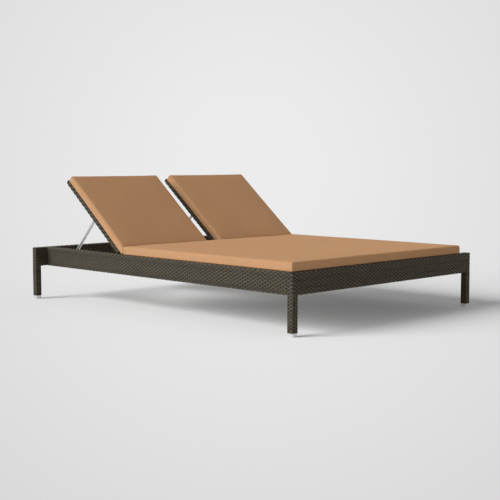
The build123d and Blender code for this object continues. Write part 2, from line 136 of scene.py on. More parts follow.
class Strands:
    """Gathers grids of points into one mesh, with how each strand runs for its material."""

    def __init__(self):
        self.points = []
        self.faces = []
        self.marks = []
        self.count = 0

    def grid(self, points, tone, run, side, recess_shade=0.0, wrap_rows=False, wrap_cols=False, outer=None):
        """A sheet through rows of points. outer is the same grid a little further out, which says
        which way it faces. A tube, whose rows are its rings, needs none."""
        if outer is None:
            outer = 2 * points - points.mean(1, keepdims=True)
        rows, cols = points.shape[:2]
        index = np.arange(rows * cols).reshape(rows, cols) + self.count
        a = index if wrap_rows else index[:-1]
        b = np.roll(index, -1, 0) if wrap_rows else index[1:]
        if wrap_cols:
            quads = np.stack([a, np.roll(a, -1, 1), np.roll(b, -1, 1), b], -1)
        else:
            quads = np.stack([a[:, :-1], a[:, 1:], b[:, 1:], b[:, :-1]], -1)
        corner = points.reshape(-1, 3)[quads - self.count]
        facing = np.cross(corner[..., 2, :] - corner[..., 0, :], corner[..., 3, :] - corner[..., 1, :])
        toward = (outer - points).reshape(-1, 3)[quads[..., 0] - self.count]
        if (facing * toward).sum() < 0:
            quads = quads[..., ::-1]
        self.points.append(points.reshape(-1, 3))
        self.faces.append(quads.reshape(-1, 4))
        marks = np.empty((rows * cols, 4))
        marks[:, 0] = tone
        marks[:, 1] = np.broadcast_to(run, (rows, cols)).ravel()
        marks[:, 2] = np.broadcast_to(side, (rows, cols)).ravel()
        marks[:, 3] = np.broadcast_to(recess_shade, (rows, cols)).ravel()
        self.marks.append(marks)
        self.count += rows * cols

    def build(self, name, material, matrix=None):
        points = np.concatenate(self.points)
        if matrix is not None:
            m = np.array(matrix)
            points = points @ m[:3, :3].T + m[:3, 3]
        faces = np.concatenate(self.faces)
        marks = np.concatenate(self.marks)
        mesh = bpy.data.meshes.new(name)
        mesh.vertices.add(len(points))
        mesh.vertices.foreach_set("co", points.ravel())
        mesh.loops.add(faces.size)
        mesh.loops.foreach_set("vertex_index", faces.ravel())
        mesh.polygons.add(len(faces))
        mesh.polygons.foreach_set("loop_start", np.arange(0, faces.size, 4))
        mesh.polygons.foreach_set("use_smooth", np.ones(len(faces), bool))
        for k, label in enumerate(MARKS):
            layer = mesh.attributes.new(label, "FLOAT", "POINT")
            layer.data.foreach_set("value", np.ascontiguousarray(marks[:, k]))
        mesh.update()
        mesh.validate()
        obj = bpy.data.objects.new(name, mesh)
        bpy.context.scene.collection.objects.link(obj)
        mesh.materials.append(material)
        return obj


def outline(corners, radius, closed):
    """A path through corners with rounded bends, as run -> point and outward normal.
    The path turns left, and its outside is on the right."""
    points = [np.array(c, float) for c in corners]
    count = len(points)
    path = []
    for i, corner in enumerate(points):
        if not closed and i in (0, count - 1):
            other = points[1] if i == 0 else points[-2]
            along = (other - corner) if i == 0 else (corner - other)
            along /= np.linalg.norm(along)
            path.append((corner, np.array([along[1], -along[0]])))
            continue
        before = corner - points[i - 1]
        after = points[(i + 1) % count] - corner
        before /= np.linalg.norm(before)
        after /= np.linalg.norm(after)
        start_normal = np.array([before[1], -before[0]])
        end_normal = np.array([after[1], -after[0]])
        centre = corner - radius * (start_normal + end_normal)
        for t in np.linspace(0, math.pi / 2, 7):
            normal = start_normal * math.cos(t) + end_normal * math.sin(t)
            path.append((centre + radius * normal, normal))
    if closed:
        path.append(path[0])
    where = np.array([p for p, n in path])
    normals = np.array([n for p, n in path])
    steps = np.linalg.norm(np.diff(where, axis=0), axis=1)
    runs = np.concatenate([[0], np.cumsum(steps)])
    total = runs[-1]

    def at(s, lift):
        s = np.mod(s, total) if closed else s
        x, y, nx, ny = (np.interp(s, runs, c) for c in (*where.T, *normals.T))
        return x + nx * lift, y + ny * lift

    return total, at, runs[:-1] if closed else runs


def rectangle(width, height):
    w, h = width / 2, height / 2
    return [(w, -h), (w, h), (-w, h), (-w, -h)]


def vec(x, y, z):
    return np.array([x, y, z], float)


def sleeve_place(origin, axis, u, v, at, nose=None):
    """Surface of a sleeve: a runs along the member, s round it. A nose closes it as a half round."""
    def place(a, s, lift):
        x, y = at(s, lift)
        if nose is not None:
            start, radius = nose
            beyond = np.clip((a - start) / radius, 0, NOSE_END)
            y = y * np.sqrt(1 - beyond ** 2)
        return origin + a[..., None] * axis + x[..., None] * u + y[..., None] * v
    return place


def wrap_place(origin, u, v, across, at):
    """Surface of a band that bends: a runs along the bent path, s straight across it."""
    def place(a, s, lift):
        x, y = at(a, lift)
        return origin + x[..., None] * u + y[..., None] * v + s[..., None] * across
    return place


def crest(phase):
    """A wave with long floats and steep dips."""
    return np.sign(phase) * np.abs(phase) ** 0.6


ACROSS = np.array([-0.5, -0.4, -0.15, 0.15, 0.4, 0.5])
FALL = np.array([-1.0, -0.1, 0, 0, -0.1, -1.0]) * STRAND_EDGE


def row_profile(over, step, bent):
    """Where a strand's points lie near one stake, and how high: it floats over it or dips under it.
    A strand that bends round corners has a point midway to the next stake too."""
    where = [-0.36, -0.12, 0.12, 0.36] if over else [-0.34, -0.15, 0.15, 0.34]
    rise = [0.88, 1.0, 1.0, 0.88] if over else [0.72, 0.0, 0.0, 0.72]
    if bent:
        where = [-0.5] + where
        rise = [0.95] + rise
    return np.array(where) * step, np.array(rise)


def weave(strands, place, length, width, closed, rows=None, stakes=None, rings=False, bends=None,
          bent=False):
    """Strands in rows along a, or as rings when a is a closed path, over stakes that cross them."""
    rows = rows or max(2, int(round(width / ROW / 2)) * 2)
    stakes = stakes or max(1, int(round(length / STAKE)))
    pitch = width / rows
    step = length / stakes
    for j in range(rows):
        where, rise = [], []
        for i in range(stakes):
            offsets, levels = row_profile((i + j) % 2 == 0, step, bent or rings)
            where.append((i + 0.5) * step + offsets)
            rise.append(levels)
        if not rings:
            where = [[0.0]] + where + [[length]]
            rise = [[END_LEVEL]] + rise + [[END_LEVEL]]
        a = np.concatenate(where)
        level = np.concatenate(rise)
        lift = (TROUGH + (CREST - TROUGH) * level)[:, None] + FALL[None, :]
        narrow = (DIP_WIDTH + FLOAT_GAIN * level)[:, None]
        wander = WANDER * np.sin(a * WANDER_RATE + draw.uniform(0, PHASES))[:, None]
        s = (j + 0.5) * pitch + ACROSS[None, :] * pitch * narrow + wander
        aa = np.broadcast_to(a[:, None], s.shape)
        # Each strand's dips get painted shade, most where it goes furthest under a stake
        strands.grid(place(aa, s, lift), draw.uniform(0, 1), aa + draw.uniform(0, STARTS), ACROSS * 2,
                     (1 - level)[:, None], wrap_rows=rings, outer=place(aa, s, lift + OUTER))
    s = np.array(bends) if bends is not None else np.linspace(0, width, 2)
    offsets = np.array([-1.0, -0.6, 0.6, 1.0]) * STAKE_HALF
    sink = np.array([-STAKE_SINK, 0, 0, -STAKE_SINK]) + STAKE_LIFT
    for i in range(stakes):
        aa = (i + 0.5) * step + offsets[None, :] + 0 * s[:, None]
        ss = np.broadcast_to(s[:, None], aa.shape)
        lift = np.broadcast_to(sink[None, :], aa.shape)
        # The stakes carry painted shade all along
        strands.grid(place(aa, ss, lift), draw.uniform(0, 1), ss + draw.uniform(0, STARTS),
                     offsets / STAKE_HALF, STAKE_PAINTED_SHADE, wrap_rows=closed,
                     outer=place(aa, ss, lift + OUTER))


def shade_sheet(strands, place, length, width, closed, stations=(0, 1), depth=SHADE_SHEET_DEPTH):
    """A near-black sheet under the strands: painted shade that shows through the gaps between them."""
    a = np.array(stations) * length
    s = np.linspace(0, width, SHADE_SHEET_PARTS + 1)
    if closed:
        s = s[:-1]
    aa, ss = np.meshgrid(a, s, indexing="ij")
    strands.grid(place(aa, ss, np.full(aa.shape, -depth)), SHADE_SHEET_TONE, aa, ss, wrap_cols=closed,
                 outer=place(aa, ss, np.full(aa.shape, OUTER - depth)))


def sleeve(strands, origin, axis, u, v, length, width, height, nose=None, rings=False):
    """A woven sleeve round a bar. Its rows run along it, or round it as rings."""
    total, at, bends = outline(rectangle(width, height), ROUND, True)
    half = total / 2 - (height - 2 * ROUND) / 2
    if rings:
        place = sleeve_place(origin, axis, u, v, at)

        def around(a, s, lift):
            return place(s, a + ROUND * math.pi / 4, lift)

        stakes = 2 * int(round(total / STAKE / 2))
        weave(strands, around, total, length, False, stakes=stakes, rings=True,
              rows=int(round(length / ROW)))
    else:
        def shifted(s, lift):
            return at(s + half, lift)

        place = sleeve_place(origin, axis, u, v, shifted, nose)
        weave(strands, place, length, total, True, bends=bends - half)
    stations = (0, 1) if nose is None else (0, nose[0] / length) + tuple(
        nose[0] / length + (1 - nose[0] / length) * np.sin(np.linspace(0.2, math.pi / 2, 6)))
    shade_sheet(strands, place, length, total, True, stations)


# How far an end wrap goes round the edges, and how much shorter than its bar's height it is
WRAP_TUCK = 0.003
WRAP_SHORT = 0.002
# How deep the near-black sheet of painted shade lies under an end wrap
WRAP_SHADE_SHEET_DEPTH = 0.0027


def end_wrap(strands, centre, out, side, up, width, height):
    """The woven end of a bar: rows run across it and a little way round both edges."""
    half = width / 2
    corners = [(half, -WRAP_TUCK), (half, 0), (-half, 0), (-half, -WRAP_TUCK)]
    total, at, _ = outline(corners, ROUND, False)
    tall = height - WRAP_SHORT
    rows = int(round(tall / ROW))
    origin = centre - up * (tall / 2)
    place = wrap_place(origin, side, out, up, at)
    weave(strands, place, total, tall, False, rows=rows, stakes=2, bent=True)
    shade_sheet(strands, place, total, tall, False, tuple(np.linspace(0, 1, 16)), WRAP_SHADE_SHEET_DEPTH)


# Materials -------------------------------------------------------------------------------

def new_material(name):
    material = bpy.data.materials.new(name)
    material.use_nodes = True
    tree = material.node_tree
    shader = tree.nodes["Principled BSDF"]
    return material, tree, shader


def object_coordinates(tree):
    return tree.nodes.new("ShaderNodeTexCoord").outputs["Object"]


def strand_mark(tree, label):
    """One of the values that Strands.build keeps at each point."""
    node = tree.nodes.new("ShaderNodeAttribute")
    node.attribute_name = label
    return node.outputs["Fac"]


def noise(tree, vector, scale, detail):
    node = tree.nodes.new("ShaderNodeTexNoise")
    node.inputs["Scale"].default_value = scale
    node.inputs["Detail"].default_value = detail
    node.inputs["Roughness"].default_value = 0.55
    tree.links.new(vector, node.inputs["Vector"])
    return node.outputs["Fac"]


def ramp(tree, value, stops):
    node = tree.nodes.new("ShaderNodeValToRGB")
    elements = node.color_ramp.elements
    while len(elements) < len(stops):
        elements.new(0.5)
    for element, (at, colour) in zip(elements, stops):
        element.position = at
        element.color = (*colour, 1.0)
    tree.links.new(value, node.inputs["Fac"])
    return node.outputs["Color"]


def mix(tree, factor, a, b):
    node = tree.nodes.new("ShaderNodeMix")
    node.data_type = "RGBA"
    for socket, value in (("Factor", factor), ("A", a), ("B", b)):
        target = [i for i in node.inputs if i.name == socket and
                  (i.type == "VALUE" if socket == "Factor" else i.type == "RGBA")][0]
        if hasattr(value, "links"):
            tree.links.new(value, target)
        else:
            target.default_value = value if socket == "Factor" else (*value, 1.0)
    return [o for o in node.outputs if o.type == "RGBA"][0]


def math_node(tree, operation, a, b=0.0, clamp=False):
    node = tree.nodes.new("ShaderNodeMath")
    node.operation = operation
    node.use_clamp = clamp
    for index, value in enumerate((a, b)):
        if hasattr(value, "links"):
            tree.links.new(value, node.inputs[index])
        else:
            node.inputs[index].default_value = value
    return node.outputs[0]


def bump(tree, shader, height, distance, strength):
    node = tree.nodes.new("ShaderNodeBump")
    node.inputs["Distance"].default_value = distance
    node.inputs["Strength"].default_value = strength
    tree.links.new(height, node.inputs["Height"])
    tree.links.new(node.outputs["Normal"], shader.inputs["Normal"])


def remap(tree, value, low, high):
    node = tree.nodes.new("ShaderNodeMapRange")
    node.inputs["To Min"].default_value = low
    node.inputs["To Max"].default_value = high
    tree.links.new(value, node.inputs["Value"])
    return node.outputs["Result"]


def wicker_material():
    """Flat extruded strands: each has its own brown, mottled along it, with fine ridges."""
    material, tree, shader = new_material("wicker")
    tone = strand_mark(tree, "tone")
    run = strand_mark(tree, "run")
    side = strand_mark(tree, "side")
    join = tree.nodes.new("ShaderNodeCombineXYZ")
    tree.links.new(run, join.inputs["X"])
    tree.links.new(tone, join.inputs["Y"])
    slow = noise(tree, join.outputs[0], 14.0, 3.0)
    mixed = math_node(tree, "ADD", math_node(tree, "MULTIPLY", slow, 0.75),
                      math_node(tree, "MULTIPLY", tone, 0.35))
    colour = ramp(tree, mixed, [(0.28, (0.0314, 0.0226, 0.0112)), (0.46, (0.0589, 0.0432, 0.0215)),
                                (0.60, (0.0722, 0.0583, 0.0292)), (0.78, (0.0988, 0.0761, 0.0404))])
    streaks = tree.nodes.new("ShaderNodeCombineXYZ")
    tree.links.new(math_node(tree, "MULTIPLY", run, 40.0), streaks.inputs["X"])
    tree.links.new(math_node(tree, "MULTIPLY", side, 5.0), streaks.inputs["Y"])
    tree.links.new(tone, streaks.inputs["Z"])
    fine = noise(tree, streaks.outputs[0], 1.6, 2.0)
    streaked = ramp(tree, fine, [(0.3, (0.0247, 0.0188, 0.0103)), (0.7, (0.1007, 0.0808, 0.0430))])
    colour = mix(tree, 0.3, colour, streaked)
    # Painted shade: the dips and the stakes darken towards near black by their recess_shade mark
    recess_shade = strand_mark(tree, "recess_shade")
    colour = mix(tree, math_node(tree, "MULTIPLY", recess_shade, 1.2, clamp=True), colour, (0.005, 0.004, 0.003))
    # Painted shade: the sheet under the strands is near black, as the shade seen through their gaps
    shade_sheet_mask = math_node(tree, "LESS_THAN", tone, SHADE_SHEET_TONE / 2)
    colour = mix(tree, shade_sheet_mask, colour, (0.008, 0.006, 0.005))
    tree.links.new(colour, shader.inputs["Base Color"])
    tree.links.new(remap(tree, fine, 0.42, 0.62), shader.inputs["Roughness"])
    shader.inputs["Specular IOR Level"].default_value = 0.27
    ridges = math_node(tree, "SINE", math_node(tree, "MULTIPLY", side, 14.0))
    height = math_node(tree, "ADD", math_node(tree, "MULTIPLY", ridges, 0.5), fine)
    bump(tree, shader, height, 0.00012, 0.7)
    return material


THREAD = 0.0011


def fabric_material():
    """Plain-woven outdoor canvas: fine over-and-under threads, heathered a little."""
    material, tree, shader = new_material("cushion_fabric")
    where = object_coordinates(tree)
    split = tree.nodes.new("ShaderNodeSeparateXYZ")
    tree.links.new(where, split.inputs[0])
    threads = []
    for axis in ("X", "Y", "Z"):
        turns = math_node(tree, "MULTIPLY", split.outputs[axis], 2 * math.pi / THREAD)
        threads.append(math_node(tree, "SINE", turns))
    either = math_node(tree, "ADD", threads[0], threads[1])
    cross = math_node(tree, "ADD", math_node(tree, "MULTIPLY", threads[0], threads[1]),
                      math_node(tree, "MULTIPLY", threads[2], either))
    heather = noise(tree, where, 420.0, 2.0)
    cloud = noise(tree, where, 5.0, 3.0)
    base = ramp(tree, cloud, [(0.3, (0.4875, 0.2660, 0.1304)), (0.7, (0.5090, 0.2793, 0.1380))])
    fleck = ramp(tree, heather, [(0.35, (0.3705, 0.1852, 0.0832)), (0.65, (0.6045, 0.3610, 0.1937))])
    colour = mix(tree, 0.22, base, fleck)
    tree.links.new(colour, shader.inputs["Base Color"])
    shader.inputs["Roughness"].default_value = 0.9
    shader.inputs["Specular IOR Level"].default_value = 0.06
    height = math_node(tree, "ADD", math_node(tree, "MULTIPLY", cross, 0.5), heather)
    bump(tree, shader, height, 0.00018, 0.6)
    return material


def metal_material(name, colour, roughness, scale, spread):
    material, tree, shader = new_material(name)
    shader.inputs["Metallic"].default_value = 1.0
    where = object_coordinates(tree)
    grain = noise(tree, where, scale, 4.0)
    low = tuple(c * 0.93 for c in colour)
    tree.links.new(ramp(tree, grain, [(0.3, low), (0.7, colour)]), shader.inputs["Base Color"])
    rough = remap(tree, grain, roughness - spread, roughness + spread)
    tree.links.new(rough, shader.inputs["Roughness"])
    bump(tree, shader, grain, 0.00004, 0.4)
    return material


def plastic_material(name, colour, roughness, scale=900.0, grain=0.00006, level=0.5):
    material, tree, shader = new_material(name)
    where = object_coordinates(tree)
    fine = noise(tree, where, scale, 3.0)
    low = tuple(c * 0.86 for c in colour)
    tree.links.new(ramp(tree, fine, [(0.3, low), (0.7, colour)]), shader.inputs["Base Color"])
    tree.links.new(remap(tree, fine, roughness - 0.06, roughness + 0.06), shader.inputs["Roughness"])
    shader.inputs["Specular IOR Level"].default_value = level
    bump(tree, shader, fine, grain, 0.6)
    return material


wicker = wicker_material()
fabric = fabric_material()
finishes = {
    "glide_metal": metal_material("glide_metal", (0.72, 0.71, 0.70), 0.38, 260.0, 0.08),
    "bare_aluminium": metal_material("bare_aluminium", (0.66, 0.66, 0.67), 0.42, 300.0, 0.06),
    "powder_coat": plastic_material("powder_coat", (0.014, 0.011, 0.008), 0.55, 1400.0, 0.00010, 0.3),
    "black_nylon": plastic_material("black_nylon", (0.018, 0.017, 0.016), 0.48),
    "pale_nylon": plastic_material("pale_nylon", (0.72, 0.70, 0.63), 0.45),
    "rubber": plastic_material("rubber", (0.022, 0.021, 0.020), 0.72),
    "polished_steel": metal_material("polished_steel", (0.70, 0.70, 0.71), 0.14, 180.0, 0.04),
    "satin_steel": metal_material("satin_steel", (0.58, 0.58, 0.58), 0.34, 320.0, 0.06),
    "wicker": wicker,
    "cushion_fabric": fabric,
}
for part in frame["record"]["subparts"]:
    mesh = nodes[part["node"]].data
    mesh.materials.clear()
    mesh.materials.append(finishes[part["material_slot"]])


# Woven frame -----------------------------------------------------------------------------

X, Y, Z = vec(1, 0, 0), vec(0, 1, 0), vec(0, 0, 1)
SKIN_HEIGHT = WOVEN_TOP - WOVEN_BOTTOM
MIDDLE_Z = (WOVEN_TOP + WOVEN_BOTTOM) / 2
TURN = Matrix.Rotation(math.pi, 4, "Z")
# How far a sleeve laps the rounded edge of an end wrap, runs into the piece it meets, or clears the
# cap below it
SLEEVE_LAP = 0.0005
SLEEVE_INTO = 0.001
SLEEVE_CLEAR = 0.0003


def wicker_piece(strands, name, body, node, matrix=None):
    obj = strands.build(name, wicker, matrix)
    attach(obj, body)
    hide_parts(node)


def beam_strands():
    """The head beam: a sleeve along Y with both its ends wrapped."""
    strands = Strands()
    low = NEAR_Y - OVERHANG
    tuck = ROUND - SLEEVE_LAP
    sleeve(strands, vec(HEAD_X + BEAM / 2, low + tuck, MIDDLE_Z), Y, -X, Z,
           FAR_Y - low - 2 * tuck, BEAM, SKIN_HEIGHT)
    end_wrap(strands, vec(HEAD_X + BEAM / 2, low, MIDDLE_Z), -Y, X, Z, BEAM, SKIN_HEIGHT)
    end_wrap(strands, vec(HEAD_X + BEAM / 2, FAR_Y, MIDDLE_Z), Y, -X, Z, BEAM, SKIN_HEIGHT)
    return strands


def rail_strands():
    strands = Strands()
    reach = FOOT_X - BEAM + SLEEVE_INTO
    sleeve(strands, vec(-reach, NEAR_Y + BEAM / 2, MIDDLE_Z), X, -Y, Z, 2 * reach, BEAM, SKIN_HEIGHT)
    return strands


def leg_strands(x, y):
    strands = Strands()
    sleeve(strands, vec(x, y, GLIDE + SLEEVE_CLEAR), Z, X, Y, BOTTOM - GLIDE + SLEEVE_INTO, BEAM, BEAM,
           rings=True)
    return strands


wicker_piece(beam_strands(), "wicker_head_beam", "frame", "head_beam_weave")
wicker_piece(beam_strands(), "wicker_foot_beam", "frame", "foot_beam_weave", TURN)
wicker_piece(rail_strands(), "wicker_near_rail", "frame", "near_rail_weave")
wicker_piece(rail_strands(), "wicker_far_rail", "frame", "far_rail_weave", TURN)
for leg in ("near_head", "far_head", "far_foot", "near_foot"):
    low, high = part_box(leg + "_leg_weave")
    centre = (low + high) / 2
    wicker_piece(leg_strands(centre.x, centre.y), "wicker_" + leg + "_leg", "frame", leg + "_leg_weave")


FOLD_TAIL = 0.024
FOLD_STRAIGHT = 0.0035
FOLD_BEND = 0.0016
# Pitch, width and thickness
DECK_STRAPS = (0.030, 0.0285, 0.0011)
BACK_STRAPS = (0.0245, 0.0235, 0.0011)
STRAPS_SINK = 0.002
STRAP_PROFILE = [(-0.5, 0.0), (-0.46, 0.5), (0.46, 0.5), (0.5, 0.0), (0.46, -0.5), (-0.46, -0.5)]


def fold_rows(tail):
    """Where a strap goes as it turns down over a bar's edge: along, out, and its face's direction."""
    slant = math.sqrt(0.5)
    return [(0.0006, -tail, (-1, 0)), (0.0006, -FOLD_STRAIGHT, (-1, 0)),
            (0.0010, -FOLD_BEND, (-slant, slant)), (0.0024, -0.0004, (0, 1))]


def straps(strands, origin, along, across, out, length, width, pitch, strap, thick, fold=None):
    """A flat plain weave of wide straps, seen from both sides. fold(offset) is how far down a
    strap's first end turns."""
    for first, second, size, reach in ((along, across, width, length), (across, along, length, width)):
        count = int(round(size / pitch))
        other = int(round(reach / pitch))
        gap = size / count
        step = reach / other
        run = np.linspace(0, reach, 2 * other + 1)
        flip = 1 if first is along else -1
        for j in range(count):
            wave = crest(np.cos(math.pi * (run / step - 0.5) + math.pi * j)) * thick * 0.5 * flip
            tone = draw.uniform()
            points = np.empty((len(run), len(STRAP_PROFILE), 3))
            for k, (w, h) in enumerate(STRAP_PROFILE):
                offset = (j + 0.5) * gap + w * strap
                points[:, k] = (origin + run[:, None] * first + offset * second
                                + (wave + h * thick)[:, None] * out)
            tail = fold((j + 0.5) * gap) if fold and first is along else 0.0
            where = run
            if tail:
                turned = np.empty((4, len(STRAP_PROFILE), 3))
                for i, (a, z, (face_a, face_z)) in enumerate(fold_rows(tail)):
                    for k, (w, h) in enumerate(STRAP_PROFILE):
                        turned[i, k] = (origin + (a + h * thick * face_a) * first
                                        + (z + h * thick * face_z) * out
                                        + ((j + 0.5) * gap + w * strap) * second)
                points = np.concatenate([turned, points[1:]])
                where = np.concatenate([[-tail, -FOLD_STRAIGHT, -FOLD_BEND, 0.0], run[1:]])
            strands.grid(points, tone, where[:, None] + draw.uniform(0, STARTS),
                         np.array([2 * w for w, h in STRAP_PROFILE]), wrap_cols=True)


INNER_RAIL_Y = 0.062
INNER_RAIL_ROOM = 0.036


def deck_fold(offset):
    """Straps turn down over the first cross bar, except where an inner rail passes under them."""
    y = NEAR_Y + BEAM + offset
    return 0.0 if abs(abs(y) - INNER_RAIL_Y) < INNER_RAIL_ROOM else FOLD_TAIL


deck = Strands()
deck_end = FOOT_X - BEAM
straps(deck, vec(DECK_X, NEAR_Y + BEAM, TOP - STRAPS_SINK), X, Y, Z, deck_end - DECK_X,
       2 * (FAR_Y - BEAM), *DECK_STRAPS, deck_fold)
wicker_piece(deck, "wicker_seat_deck", "frame", "seat_deck_weave")


# How far the sleeves of a backrest's sides stop short of its upper end
SIDE_SHORT = 0.003


def backrest_strands():
    """Rim, hinge lugs and panel of a backrest, lying flat about its hinge."""
    strands = Strands()
    side_y = BACK_HALF - RIM / 2
    inner = BACK_HALF - RIM
    nose = WOVEN_BACK / 2
    for sign in (-1, 1):
        sleeve(strands, vec(-BACK_REACH + SIDE_SHORT, sign * side_y, 0), X, -sign * Y, sign * -Z,
               BACK_REACH - SIDE_SHORT + nose, RIM, WOVEN_BACK, (BACK_REACH - SIDE_SHORT, nose))
        end_wrap(strands, vec(-BACK_REACH, sign * side_y, 0), -X, Y, Z, RIM, WOVEN_BACK)
    for x in (-BACK_REACH + RIM / 2, -RAIL_GAP - RIM / 2):
        sleeve(strands, vec(x, -inner, 0), Y, X, -Z, 2 * inner, RIM, WOVEN_BACK)
    x0 = -BACK_REACH + RIM
    x1 = -RAIL_GAP - RIM
    straps(strands, vec(x0, -inner, BACK_THICK / 2 - STRAPS_SINK), X, Y, Z, x1 - x0, 2 * inner,
           *BACK_STRAPS)
    return strands


def reclined(sign):
    """Where a backrest rests, for what was built lying flat about its hinge."""
    return Matrix.Translation((HINGE_X, sign * BACK_Y, HINGE_Z)) @ Matrix.Rotation(RECLINE, 4, "Y")


for side, sign in (("near", -1), ("far", 1)):
    wicker_piece(backrest_strands(), "wicker_" + side + "_backrest", side + "_backrest",
                 side + "_backrest_weave", reclined(sign))


# Cushions --------------------------------------------------------------------------------

EDGE = 0.013
EDGE_BELOW = 0.006
BAND = [math.tan(math.radians(d)) for d in (15, 30, 45)]
SWELL = 0.0022
UPRIGHT = 5
LAYERS = 0.7
SEAM = 0.0009
CROWN = 0.0025
CROWN_POWER = 0.35
PUCKER = 0.0003
PUCKER_REACH = 0.028
ROLLING = 0.0003
PULL = 0.0015
PULL_POWER = 12
CLOTH_PRESSURE = 4.0
CLOTH_STRETCH = 25.0
CLOTH_SHEAR = 12.0
CLOTH_BENDING = 2.0
CLOTH_STEPS = 20


def band_lines(half, below, spacing):
    """Grid lines along one side: close at both rounded edges, even between them."""
    inner_low = below - half
    inner_high = half - EDGE
    count = max(2, int(round((inner_high - inner_low) / spacing)))
    head = [inner_low - below * b for b in reversed(BAND)]
    tail = [inner_high + EDGE * b for b in BAND]
    return np.concatenate([head, np.linspace(inner_low, inner_high, count + 1), tail])


def pad_grid(size, spacing):
    """A closed block standing on z 0, with soft edges and crisper upright corners: its points, their
    places on the plain block, its faces, and the loops of points along its lower and upper edge."""
    half = np.array(size) / 2
    below = np.array([EDGE, EDGE, EDGE_BELOW])
    lines = [band_lines(*of) for of in zip(half, below, (spacing, spacing, spacing * LAYERS))]
    store = {}
    flat = []
    faces = []

    def index(ijk):
        if ijk not in store:
            store[ijk] = len(flat)
            flat.append([lines[k][ijk[k]] for k in range(3)])
        return store[ijk]

    last = [len(line) - 1 for line in lines]
    for axis in range(3):
        a, b = [k for k in range(3) if k != axis]
        for end in (0, last[axis]):
            grid = np.empty((last[a] + 1, last[b] + 1), int)
            for i in range(last[a] + 1):
                for j in range(last[b] + 1):
                    place = [0, 0, 0]
                    place[axis], place[a], place[b] = end, i, j
                    grid[i, j] = index(tuple(place))
            quads = np.stack([grid[:-1, :-1], grid[1:, :-1], grid[1:, 1:], grid[:-1, 1:]], -1)
            quads = quads.reshape(-1, 4)
            outward = (end > 0) != (axis == 1)
            faces.append(quads if outward else quads[:, ::-1])
    flat = np.array(flat)
    inner = np.clip(flat, below - half, half - EDGE)
    radii = np.where(flat < inner, below, EDGE)
    away = (flat - inner) / radii
    upright = (np.abs(away[:, :2]) ** UPRIGHT).sum(1) ** (1 / UPRIGHT)
    away /= np.hypot(upright, away[:, 2])[:, None]
    points = inner + away * radii
    points[:, 2] += half[2]
    loops = []
    for k in (0, last[2]):
        ring = [(i, 0, k) for i in range(last[0])] + [(last[0], j, k) for j in range(last[1])]
        ring += [(i, last[1], k) for i in range(last[0], 0, -1)]
        ring += [(0, j, k) for j in range(last[1], 0, -1)]
        loops.append(np.array([store[r] for r in ring]))
    return points, flat / half, np.concatenate(faces), loops


def mesh_of(name, points, faces):
    mesh = bpy.data.meshes.new(name)
    mesh.from_pydata(points.tolist(), [], faces.tolist())
    mesh.update()
    mesh.polygons.foreach_set("use_smooth", np.ones(len(mesh.polygons), bool))
    return mesh


def swell(points, faces):
    """How far each point moves when the pad is filled as cloth, held to a small cap."""
    obj = bpy.data.objects.new("filling", mesh_of("filling", points, faces))
    bpy.context.scene.collection.objects.link(obj)
    cloth = obj.modifiers.new("Cloth", "CLOTH")
    settings = cloth.settings
    settings.use_pressure = True
    settings.uniform_pressure_force = CLOTH_PRESSURE
    settings.effector_weights.gravity = 0.0
    settings.tension_stiffness = CLOTH_STRETCH
    settings.compression_stiffness = CLOTH_STRETCH
    settings.shear_stiffness = CLOTH_SHEAR
    settings.bending_stiffness = CLOTH_BENDING
    for step in range(1, CLOTH_STEPS + 1):
        bpy.context.scene.frame_set(step)
    graph = bpy.context.evaluated_depsgraph_get()
    filled = obj.evaluated_get(graph)
    result = filled.to_mesh()
    moved = np.empty(3 * len(result.vertices))
    result.vertices.foreach_get("co", moved)
    moved = moved.reshape(-1, 3) - points
    filled.to_mesh_clear()
    bpy.context.scene.frame_set(1)
    bpy.data.objects.remove(obj)
    far = np.linalg.norm(moved, axis=1)[:, None]
    return moved * (SWELL / (SWELL + far))


def ripples(points, count, longest, shortest):
    """A smooth random height at each point, from a few seeded waves."""
    total = np.zeros(len(points))
    for _ in range(count):
        direction = draw.normal(size=3)
        direction /= np.linalg.norm(direction)
        wave = draw.uniform(shortest, longest)
        total += np.sin(points @ direction * 2 * math.pi / wave + draw.uniform(0, PHASES))
    return total / math.sqrt(count)


def seam(points, radius):
    """A thin raised seam along a closed line of points."""
    ahead = np.roll(points, -1, 0) - np.roll(points, 1, 0)
    ahead /= np.linalg.norm(ahead, axis=1)[:, None]
    side = np.cross(ahead, Z)
    side /= np.linalg.norm(side, axis=1)[:, None]
    over = np.cross(side, ahead)
    turn = np.linspace(0, 2 * math.pi, 6, endpoint=False)
    ring = side[:, None] * np.cos(turn)[None, :, None] + over[:, None] * np.sin(turn)[None, :, None]
    return points[:, None] + radius * ring


